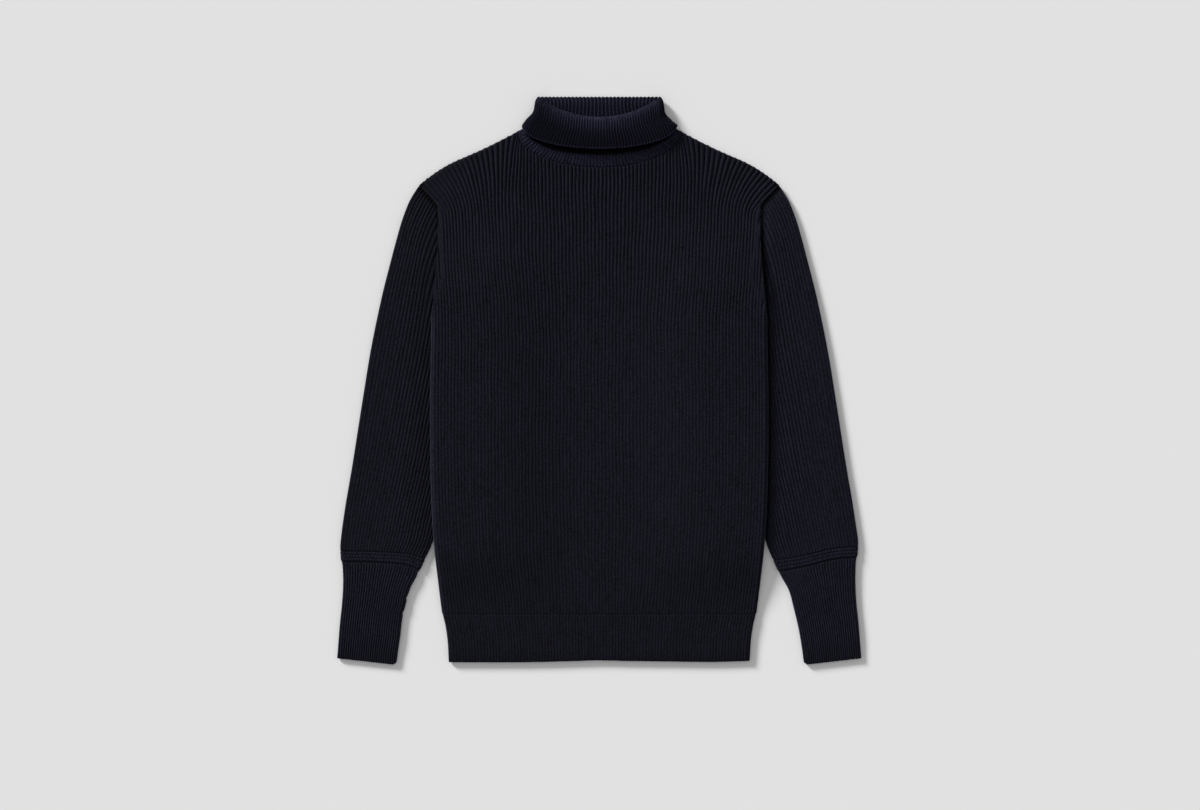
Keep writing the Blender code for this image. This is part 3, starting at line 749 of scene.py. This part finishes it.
def front_tone(column, up, top_up, strip):
    """Brightness of the front: a painted highlight at the sides, darker at the hem and the seams,
    with painted shade along the shoulders' edges.
    """
    tone = BODY_TONE + STRIP_TONE * strip
    # painted highlight along the side folds
    tone = tone + SIDE_TONE * bell(side_distance(column) - SIDE_TONE_WIDTH, SIDE_TONE_WIDTH)
    tone = tone + YOKE_TONE * smooth((up - YOKE_FROM) / YOKE_RAMP)
    tone = tone - LOW_SHADE * smooth(1.0 - up / LOW_SHADE_TOP)
    on_edge = past_neckline(column) * bell(top_up - up, SHOULDER_SHADE_WIDTH)
    tone = tone - SHOULDER_SHADE * on_edge * (up > SHOULDER_SHADE_FROM)
    on_slope = smooth(np.abs(column) - SHOULDER_COLUMN + SEAM_SHADE_COLUMNS)
    on_slope = on_slope * smooth((up - SEAM_SHADE_FROM) / SEAM_SHADE_RAMP)
    return tone - SEAM_SHADE * on_slope * bell(top_up - up, SEAM_SHADE_WIDTH)


def make_front(material):
    """The front panel, with its ribs, the smooth strip by the armholes and its creases."""
    columns, rows, across, up, fold = panel_grid(FRONT_POINTS, FRONT_ROW_STEP, FRONT_NECK_DEPTH)
    column = columns[None, :]
    _, top_up = top_edge(column, FRONT_NECK_DEPTH)
    height = FOLD_LEVEL + (TOP - FOLD_LEVEL) * fold + body_lift(across, up)
    height = height + crease_height(across, up) * fold
    strip = armhole_strip(across, up)
    relief = front_relief(column, up, top_up, strip)
    points = raised(grid(across, up, height), relief, False, len(columns))
    shoulder_across, shoulder_up = SHOULDER_CONTRAST_AT
    from_shoulder = np.hypot(np.abs(across) - shoulder_across, up - shoulder_up)
    contrast = SHOULDER_CONTRAST * bell(from_shoulder, SHOULDER_CONTRAST_REACH)
    strength = (read_line(RIB_CONTRAST, up) + contrast) * (1.0 - strip)
    tone = front_tone(column, up, top_up, strip)
    face = Layer(points, column / 2, panel_shares(columns), rows, strength, tone)
    inside = panel_inside(FRONT_NECK_DEPTH, TOP_INSIDE)
    return make_cloth("knit_front", face, inside, False, material)


def make_back(material):
    """The back panel, whose underside lies flat."""
    columns, rows, across, up, fold = panel_grid(BACK_POINTS, BACK_ROW_STEP, BACK_NECK_DEPTH)
    points = grid(across, up, FOLD_LEVEL * (1.0 - fold) + body_lift(across, up))
    strength = read_line(RIB_CONTRAST, up)
    face = Layer(points, columns[None, :] / 2, panel_shares(columns), rows, strength)
    inside = panel_inside(BACK_NECK_DEPTH, WALL)
    return make_cloth("knit_back", face, inside, False, material)


def tube_shares(upper, lower, columns):
    """How far round a tube the columns of its upper and lower layer lie, from 0 to 1."""
    around = 2.0 * columns
    return np.hstack((upper / around, 1.0 - lower / around))


def tube_inside(place, columns, rows, wall):
    """The plain inside of a tube, a wall's thickness away from the folds."""
    stops = np.linspace(wall, columns - wall, INNER_POINTS)
    rings = rows[np.unique(np.linspace(0, len(rows) - 1, INNER_RINGS).astype(int))][:, None]
    column = np.hstack((stops, stops[::-1]))[None, :]
    across, up = place(column, rings)
    is_upper = np.arange(2 * INNER_POINTS)[None, :] < INNER_POINTS
    points = grid(across, up, np.where(is_upper, TOP_INSIDE - INNER_DROP, WALL))
    return Layer(points, column / 2, tube_shares(stops, stops[::-1], columns))


def make_tube(name, place, columns, points_per_rib, rows, shape, side, material):
    """A tube of cloth that lies flat, with ribs on the upper layer.

    place(column, row) gives places seen from above, and shape(column, row, across, up) the
    relief, the sag of the upper layer, the strength of the ribs and the tone.  Both are for the
    right side, and a side of -1 mirrors the tube.
    """
    row = rows[:, None]
    start, end = place(0.0, row), place(float(columns), row)
    pitch = np.hypot(start[0] - end[0], start[1] - end[1])[0, 0] / columns
    upper = np.linspace(0.0, columns, columns * points_per_rib // 2 + 1)
    insets = UNDER_INSETS / pitch
    plain = np.linspace(insets[-1], columns - insets[-1], UNDER_POINTS)[1:-1]
    lower = np.hstack((insets, plain, columns - insets[::-1]))[::-1]
    column = np.hstack((upper, lower))[None, :]
    is_upper = np.arange(column.shape[1])[None, :] < len(upper)
    across, up = place(column, row)
    to_fold = np.minimum(*(np.hypot(across - edge[0], up - edge[1]) for edge in (start, end)))
    fold = rounded(to_fold, FOLD_ROUND)
    relief, sag, strength, tone = shape(column, row, across, up)
    above = FOLD_LEVEL + (TOP - sag - FOLD_LEVEL) * fold
    below = FOLD_LEVEL * (1.0 - fold)
    points = grid(across, up, np.where(is_upper, above, below))
    relief = relief * is_upper * smooth(to_fold / RELIEF_RAMP + RELIEF_AT_FOLD)
    points = raised(points, relief, True, len(upper))
    face = Layer(points, column / 2, tube_shares(upper, lower, columns), None, strength, tone)
    inside = tube_inside(place, columns, rows, WALL / pitch)
    for layer in (face, inside):
        layer.points[:, :, 0] *= side
    return make_cloth(name, face, inside, True, material)


def hem_place(column, along):
    """Place on the hem band seen from above; its columns are counted from the left side."""
    up = (HEM_SEAM + SEAM_LAP / 2) * (1.0 - along)
    across = read_table(BODY_SIDE, up) * (column / BODY_COLUMNS - 1.0)
    return across, up + read_table(HEM_WAVE, across) * along ** HEM_WAVE_POWER


def end_sag(to_end, sag, length, drop):
    """How far the upper layer sinks towards a bound end, and drops round its edge."""
    return sag * smooth(1.0 - to_end / length) + drop * (1.0 - rounded(to_end, END_ROUND))


def hem_shape(column, along, across, up):
    """The hem's ribs, which run to its bound edge."""
    contrast = read_line(RIB_CONTRAST, up)
    relief = rib_relief(column, up, RIB_DEPTH * contrast, seam_fade(HEM_SEAM - up, HEM_FADE))
    relief = relief - HEM_TUCK * smooth((up - HEM_SEAM) / HEM_TUCK_LENGTH + 1.0)
    sag = end_sag(HEM_SEAM * (1.0 - along), HEM_SAG, HEM_SAG_LENGTH, HEM_END_DROP)
    return relief, sag, contrast, BODY_TONE - LOW_SHADE


def sleeve_place(column, along):
    """Place on a sleeve seen from above; along runs from 0 at the armhole to 1 at the cuff."""
    top_across = read_line(ARMHOLE, column, 2, 1)
    top_up = read_line(ARMHOLE, column, 3, 1)
    share = column / SLEEVE_COLUMNS
    end_up = SLEEVE_END_OUTER + (SLEEVE_END_INNER - SLEEVE_END_OUTER) * share
    up = top_up + (end_up - top_up) * along

    def straight(height):
        outer, inner = (read_table(SLEEVE_EDGES, height, value) for value in (1, 2))
        return outer + (inner - outer) * share

    bend = np.maximum(1.0 - (top_up - up) / SLEEVE_FAN_LENGTH, 0.0) ** 2
    return straight(up) + (top_across - straight(top_up)) * bend, up


def make_sleeve(name, side, material):
    """A sleeve, ribbed along its length, that slopes down towards the body."""
    length = SLEEVE_EDGES[0][0] - SLEEVE_END_OUTER

    def shape(column, along, across, up):
        down = along * length
        fade = seam_fade(down, 0.0) * seam_fade(length - down, 0.0)
        edge = np.where(up > UNDERARM_UP, armhole_across(up), read_table(BODY_SIDE, up))
        from_body = across - edge
        beside = smooth(1.0 - from_body / SLEEVE_SAG_WIDTH)
        contrast = read_line(SLEEVE_CONTRAST, from_body, 1 if side < 0 else 2)
        relief = rib_relief(column, up, RIB_DEPTH * contrast, fade)
        relief = relief - SLEEVE_SEAM_DIP * smooth(1.0 - down / SEAM_FADE)
        # painted shade beside the body, and painted light in the body's cast shadow
        depth, middle, width = SLEEVE_SHADE[side]
        glow, glow_middle, glow_width = SLEEVE_SHADOW_FILL[side]
        tone = SLEEVE_TONE[side] + glow * bell(from_body - glow_middle, glow_width)
        tone = tone * (1.0 - depth * bell(from_body - middle, width))
        at_seam = bell(down - SLEEVE_SEAM_AT, SLEEVE_SEAM_WIDTH) * (column < SLEEVE_SEAM_COLUMNS)
        tone = tone - SEAM_SHADE * at_seam
        if side < 0:
            tone = tone - SLEEVE_RIM_SHADE * bell(column, SLEEVE_RIM_COLUMNS)
        rise = SEAM_RISE * body_lift(across, up) * smooth(1.0 - down / SEAM_RISE_LENGTH)
        rise = rise * smooth((ARMHOLE_END_COLUMN - column) / ARMHOLE_END_RAMP + 1.0)
        return relief, SLEEVE_SAG[side] * beside - rise, contrast, tone

    def place(column, along):
        across, up = sleeve_place(column, along)
        near_cuff = smooth(1.0 - (1.0 - along) * length / SEAM_SHIFT_REACH)
        lap = SLEEVE_LAP * smooth(1.0 - along * length / SLEEVE_LAP_LENGTH)
        shift = read_table(CUFF_SEAM_SHIFT[side], column / SLEEVE_COLUMNS)
        return across - lap, up + shift * near_cuff + SLEEVE_LAP_UP * lap

    rows = row_shares(length, SLEEVE_ROW_STEP)
    return make_tube(name, place, SLEEVE_COLUMNS, SLEEVE_POINTS, rows, shape, side, material)


def purl_rows(column, down):
    """Height, from 0 to 1, of the rows of purl bumps at the top of a cuff."""
    total = 0.0
    for number, middle in enumerate(PURL_ROWS):
        bumps = 0.5 + 0.5 * np.cos(np.pi * (column + number))
        bumps = 1.0 - PURL_BUMPS + PURL_BUMPS * bumps
        total = total + bumps * bell(down - middle, PURL_WIDTH)
    return total


def make_cuff(name, side, material):
    """A cuff: rows of purl at its top, and a fine rib down to its bound edge."""
    top_up, end_up = CUFF_EDGES[0][0], CUFF_EDGES[-1][0]
    length = top_up - end_up

    def place(column, along):
        outer_up = top_up - length * along
        share = column / CUFF_COLUMNS
        outer, inner, inner_up = (read_table(CUFF_EDGES, outer_up, value) for value in (1, 2, 3))
        if side < 0:
            for nick_up in CUFF_NICKS:
                inner = inner + NICK_DEPTH * bell(inner_up - nick_up, NICK_WIDTH)
            inner = inner - LEFT_CUFF_FLARE * smooth((FLARE_FROM - inner_up) / FLARE_LENGTH)
        up = outer_up + (inner_up - outer_up) * share
        near_seam = smooth(1.0 - (length * along - GARTER_BAND) / SEAM_SHIFT_REACH)
        at_end = smooth(1.0 - length * (1.0 - along) / CORNER_REACH)
        corner = CORNER_RISE * np.maximum((share - CORNER_SHARE) / (1.0 - CORNER_SHARE), 0.0) ** 2
        up = up + read_table(CUFF_SEAM_SHIFT[side], share) * near_seam + corner * at_end
        return outer + (inner - outer) * share, up

    def shape(column, along, across, up):
        down = length * along
        to_end = length - down
        fade = smooth((down - GARTER_BAND + GARTER_LEAD) / GARTER_RAMP)
        relief = (CUFF_RIB_DEPTH * rib_crest(column, BODY_CREST) - CUFF_GROOVE) * fade
        purl = purl_rows(column, down)
        border = bell(down - GARTER_BORDER, BORDER_WIDTH)
        relief = relief + PURL_HEIGHT * purl - CUFF_SEAM_DIP * (1.0 - smooth(down))
        relief = relief - BORDER_DEPTH * border
        sag = end_sag(to_end, CUFF_SAG, CUFF_SAG_LENGTH, CUFF_END_DROP)
        # painted light on the purl bumps, painted shade between them and in the border groove
        band_tone = PURL_TONE * (purl - PURL_MEAN) - BORDER_SHADE * border
        tone = CUFF_TONE + (1.0 - fade) * band_tone
        tone = tone - CUFF_END_SHADE * smooth(1.0 - to_end / CUFF_END_SHADE_LENGTH)
        return relief, sag, CUFF_CONTRAST * fade, tone

    fine = np.arange(0.0, FINE_ROWS_END, PURL_ROW_STEP)
    plain = np.arange(PLAIN_ROWS_START, length - EDGE_STEPS[-1], CUFF_ROW_STEP)
    rows = np.hstack((fine, plain, length - EDGE_STEPS[::-1])) / length
    return make_tube(name, place, CUFF_COLUMNS, SLEEVE_POINTS, rows, shape, side, material)


def curve_place(even):
    """Shares of the half-width at even steps along the curved front, both from -1 to 1."""
    turn = np.linspace(-math.pi / 2, math.pi / 2, CURVE_POINTS)
    along = np.cumsum(np.hypot(np.cos(turn), COLLAR_BEND * np.sin(turn)))
    along = 2.0 * (along - along[0]) / (along[-1] - along[0]) - 1.0
    return np.sin(np.interp(even, along, turn))


def under_flap(across, up):
    """Mask of the painted shadow: 1 on the stand under the turned-down part and just below it,
    running out at both ends.
    """
    half_width, side_up, dip = FLAP_EDGE
    height = np.sqrt(np.maximum(1.0 - (across / half_width) ** 2, 0.0))
    below_edge = side_up - dip * height - up
    return smooth((SHADE_REACH * height - below_edge) / SHADE_SOFTNESS)


def collar_tone(is_front, even, across, up, from_fold, roll, is_neck_side):
    """Brightness of the collar: a painted highlight along the fold and the rolled edge, painted
    shade on the flap and a painted shadow under it.
    """
    middle = bell(even, FOLD_MIDDLE)
    on_fold = FOLD_TONE * middle - FOLD_END_SHADE * (1.0 - middle)
    on_fold = on_fold * bell(from_fold - FOLD_BELOW, FOLD_REACH)
    on_flap = FLAP_TONE * smooth((from_fold - FLAP_FROM) / FLAP_RAMP)
    tone = np.where(is_front, FRONT_TONE + on_fold + on_flap, STAND_TONE)
    if not is_neck_side:
        # painted light on the base, under the painted shadow of the flap
        tone = (tone + BASE_TONE) * (1.0 - SHADE_TONE * under_flap(across, up))
    return tone + EDGE_TONE * roll


def ring_layer(table, step, is_neck_side):
    """One side of the collar: closed rows along its front and back behind the neck."""
    table = np.array(table)
    centre = np.stack((table[:, 1] - table[:, 2], table[:, 5]), axis=1)
    lengths = np.hstack((0.0, np.cumsum(np.linalg.norm(np.diff(centre, axis=0), axis=1))))
    keyed = np.hstack((lengths[:, None], table))
    distance = np.linspace(0.0, lengths[-1], round(lengths[-1] / step) + 1)
    half_width, side_up, front_dip, back_dip, power, front_z, back_z = (
        read_table(keyed, distance, value)[:, None] for value in range(1, 8)
    )
    front_ribs, back_ribs = (read_line(keyed, distance, value)[:, None] for value in (8, 9))
    front = np.linspace(-1.0, 1.0, COLLAR_RIBS * FRONT_COLLAR_POINTS + 1)[None, :]
    back = np.linspace(1.0, -1.0, STAND_RIBS * BACK_COLLAR_POINTS + 1)[None, 1:-1]
    is_front = np.arange(front.shape[1] + back.shape[1])[None, :] < front.shape[1]
    even = np.hstack((front, back))
    place = np.hstack((curve_place(front), back))
    half_height = (front_z - back_z) / 2
    rise = half_height * rounded((1.0 - np.abs(place)) * half_width, half_height)
    dip = np.where(is_front, front_dip, back_dip)
    up = side_up - dip * np.maximum(1.0 - place ** 2, 0.0) ** power
    height = (front_z + back_z) / 2 + np.where(is_front, rise, -rise)
    flank = sum(shift * bell(up - middle, reach) for shift, middle, reach in RIGHT_FLANK)
    across = half_width * place + flank * np.maximum(place, 0.0) ** FLANK_POWER
    points = grid(across, up, np.maximum(height, 0.0))
    ribs = np.where(is_front, COLLAR_RIBS, STAND_RIBS) * (even + 1.0) / 2
    strength = np.where(is_front, front_ribs, back_ribs)
    sides = smooth((1.0 - np.abs(even)) / COLLAR_SIDE_FADE)
    roll = bell(lengths[-1] - distance[:, None], EDGE_ROLL_WIDTH) * is_neck_side
    relief = COLLAR_RIB_DEPTH * rib_crest(2.0 * ribs, COLLAR_CREST) - COLLAR_GROOVE
    relief = relief * np.minimum(strength, MOST_RELIEF) * sides
    relief = relief * (1.0 - roll) + EDGE_ROLL * roll
    relief = np.where(is_front | (back_ribs > 0.0), relief, 0.0)
    from_fold = distance[:, None] - lengths[FOLD_ROW]
    tone = collar_tone(is_front, even, half_width * place, up, from_fold, roll, is_neck_side)
    points = raised(points, relief, True, front.shape[1])
    shares = np.hstack(((1.0 + front[0]) / 4, (3.0 - back[0]) / 4))
    return Layer(points, ribs, shares, None, strength * sides * (1.0 - roll), tone)


def make_collar(material):
    """The collar: up from the neckline, over its fold and down again to its bound edge."""
    neck_side = ring_layer(NECK_SIDE_ROWS, NECK_SIDE_STEP, True)
    body_side = ring_layer(BODY_SIDE_ROWS, BODY_SIDE_STEP, False)
    return make_cloth("knit_collar", neck_side, body_side, True, material)


# Material

class Nodes:
    """Short ways to add nodes to a material."""

    def __init__(self, tree):
        self.tree = tree

    def fill(self, node, inputs):
        """Gives a node's inputs plain values, or links them to outputs of other nodes."""
        for place, value in inputs.items():
            if isinstance(value, bpy.types.NodeSocket):
                self.tree.links.new(value, node.inputs[place])
            else:
                node.inputs[place].default_value = value

    def add(self, kind, output, inputs, **settings):
        """One output of a new node."""
        node = self.tree.nodes.new("ShaderNode" + kind)
        for setting, value in settings.items():
            setattr(node, setting, value)
        self.fill(node, inputs)
        return node.outputs[output]

    def calculate(self, operation, *values):
        """The result of one sum."""
        return self.add("Math", 0, dict(enumerate(values)), operation=operation)

    def noise(self, place, scale):
        """Soft noise around 0."""
        inputs = {"Vector": place, "Scale": scale, "Detail": NOISE_DETAIL}
        return self.calculate("SUBTRACT", self.add("TexNoise", "Fac", inputs), 0.5)


def stitch_shape(nodes, knit):
    """How high the yarn lies: round ribs of two-legged stitches, low between them; it also sets
    where the painted shade between the ribs falls.
    """
    calculate = nodes.calculate
    rib, stitch, strength = (nodes.add("SeparateXYZ", axis, {0: knit}) for axis in "XYZ")
    from_crest = calculate("ABSOLUTE", calculate("SUBTRACT", calculate("FRACT", rib), 0.5))
    phase = calculate("MULTIPLY_ADD", from_crest, -LEG_RISE, stitch)
    wave = calculate("COSINE", calculate("MULTIPLY", phase, 2.0 * math.pi))
    groove = calculate("POWER", calculate("MULTIPLY", from_crest, 2.0), CREST_POWER)
    crest = calculate("SUBTRACT", 1.0, groove)
    legs = calculate("MULTIPLY_ADD", wave, STITCH_DEPTH / 2, 1.0 - STITCH_DEPTH / 2)
    split = calculate("MINIMUM", calculate("MULTIPLY", from_crest, SPLIT_SHARPNESS), 1.0)
    split = calculate("MULTIPLY_ADD", split, SPLIT_DEPTH, 1.0 - SPLIT_DEPTH)
    stitches = calculate("MULTIPLY", calculate("MULTIPLY", crest, legs), split)
    ribbed = calculate("MULTIPLY", calculate("SUBTRACT", stitches, PLAIN_TONE), strength)
    return calculate("ADD", ribbed, PLAIN_TONE)


def knit_material(name, specular, sheen):
    """Navy wool with painted shade between its ribs, and a soft nap."""
    material = bpy.data.materials.new(name)
    material.use_nodes = True
    nodes = Nodes(material.node_tree)
    knit = nodes.add("Attribute", "Vector", {}, attribute_name="knit")
    shape = stitch_shape(nodes, knit)
    place = nodes.add("TexCoord", "Object", {})
    stretched = nodes.add("VectorMath", "Vector", {0: knit, 1: STREAK_SHAPE}, operation="MULTIPLY")
    fuzz = nodes.noise(place, FUZZ_SCALE)
    patches = nodes.noise(place, PATCH_SCALE)
    streaks = nodes.noise(stretched, 1.0)
    yarn = shape
    for noise, share in ((fuzz, FUZZ), (patches, PATCHES), (streaks, STREAKS)):
        yarn = nodes.calculate("MULTIPLY_ADD", noise, share, yarn)
    # painted shade: the grooves and the low parts of each stitch take the darker navy
    shades = {"A": (*NAVY_GROOVE, 1.0), "B": (*NAVY_CREST, 1.0), "Factor": yarn}
    colour = nodes.add("Mix", "Result", shades, data_type="RGBA")
    tone = nodes.add("Attribute", "Fac", {}, attribute_name="tone")
    colour = nodes.add("VectorMath", "Vector", {0: colour, "Scale": tone}, operation="SCALE")
    height = nodes.calculate("MULTIPLY_ADD", fuzz, FUZZ_BUMP, shape)
    bump = {"Strength": BUMP_STRENGTH, "Distance": BUMP_DEPTH, "Height": height}
    nodes.fill(material.node_tree.nodes["Principled BSDF"], {
        "Base Color": colour,
        "Normal": nodes.add("Bump", "Normal", bump),
        "Roughness": ROUGHNESS,
        "Specular IOR Level": specular,
        "Sheen Weight": sheen,
        "Sheen Roughness": SHEEN_ROUGHNESS,
        "Sheen Tint": SHEEN_TINT,
    })
    return material


# Stage

def make_stage():
    """A pale floor, an even soft light and a low soft key from the upper left."""
    bpy.ops.mesh.primitive_plane_add(size=FLOOR_SIZE)
    floor = bpy.context.object
    floor.name = "floor"
    paper = bpy.data.materials.new("floor_paper")
    paper.use_nodes = True
    Nodes(paper.node_tree).fill(
        paper.node_tree.nodes["Principled BSDF"],
        {"Base Color": (*FLOOR, 1.0), "Roughness": 1.0, "Specular IOR Level": 0.0},
    )
    floor.data.materials.append(paper)
    world = bpy.data.worlds.new("soft_studio")
    world.use_nodes = True
    background = world.node_tree.nodes["Background"]
    background.inputs["Color"].default_value = (SKY, SKY, SKY, 1.0)
    bpy.context.scene.world = world
    key = bpy.data.lights.new("key", "SUN")
    key.energy = KEY_STRENGTH
    key.angle = math.radians(KEY_ANGLE)
    lamp = add_object("key", key)
    lamp.rotation_euler = (math.radians(90.0 - KEY_ELEVATION), 0.0, math.radians(KEY_TURN))
    camera = bpy.data.cameras.new("camera")
    camera.sensor_width = SENSOR_WIDTH
    camera.lens = SENSOR_WIDTH * CAMERA_DISTANCE / FRAME_WIDTH
    viewer = add_object("camera", camera)
    viewer.location = (*FRAME_CENTRE, CAMERA_DISTANCE)
    bpy.context.scene.camera = viewer
    bpy.context.scene.view_settings.view_transform = "Standard"


# The whole sweater

def dress(piece, node):
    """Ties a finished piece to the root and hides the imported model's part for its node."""
    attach(piece, "root")
    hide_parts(node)


make_stage()
body_wool = knit_material("navy_rib_knit", SPECULAR, SHEEN)
sleeve_wool = knit_material("navy_sleeve_knit", SPECULAR, SHEEN)
cuff_wool = knit_material("navy_cuff_knit", SPECULAR, SHEEN)
collar_wool = knit_material("navy_collar_knit", COLLAR_SPECULAR, COLLAR_SHEEN)
dress(make_back(body_wool), "back")
dress(make_front(body_wool), "front")
rows = row_shares(HEM_SEAM, HEM_ROW_STEP)
columns = 2 * BODY_COLUMNS
hem = make_tube("knit_hem_band", hem_place, columns, HEM_POINTS, rows, hem_shape, 1, body_wool)
dress(hem, "hem_band")
for word, side in (("left", -1), ("right", 1)):
    dress(make_sleeve(f"knit_sleeve_{word}", side, sleeve_wool), f"sleeve_{word}")
    dress(make_cuff(f"knit_cuff_{word}", side, cuff_wool), f"cuff_{word}")
dress(make_collar(collar_wool), "collar")
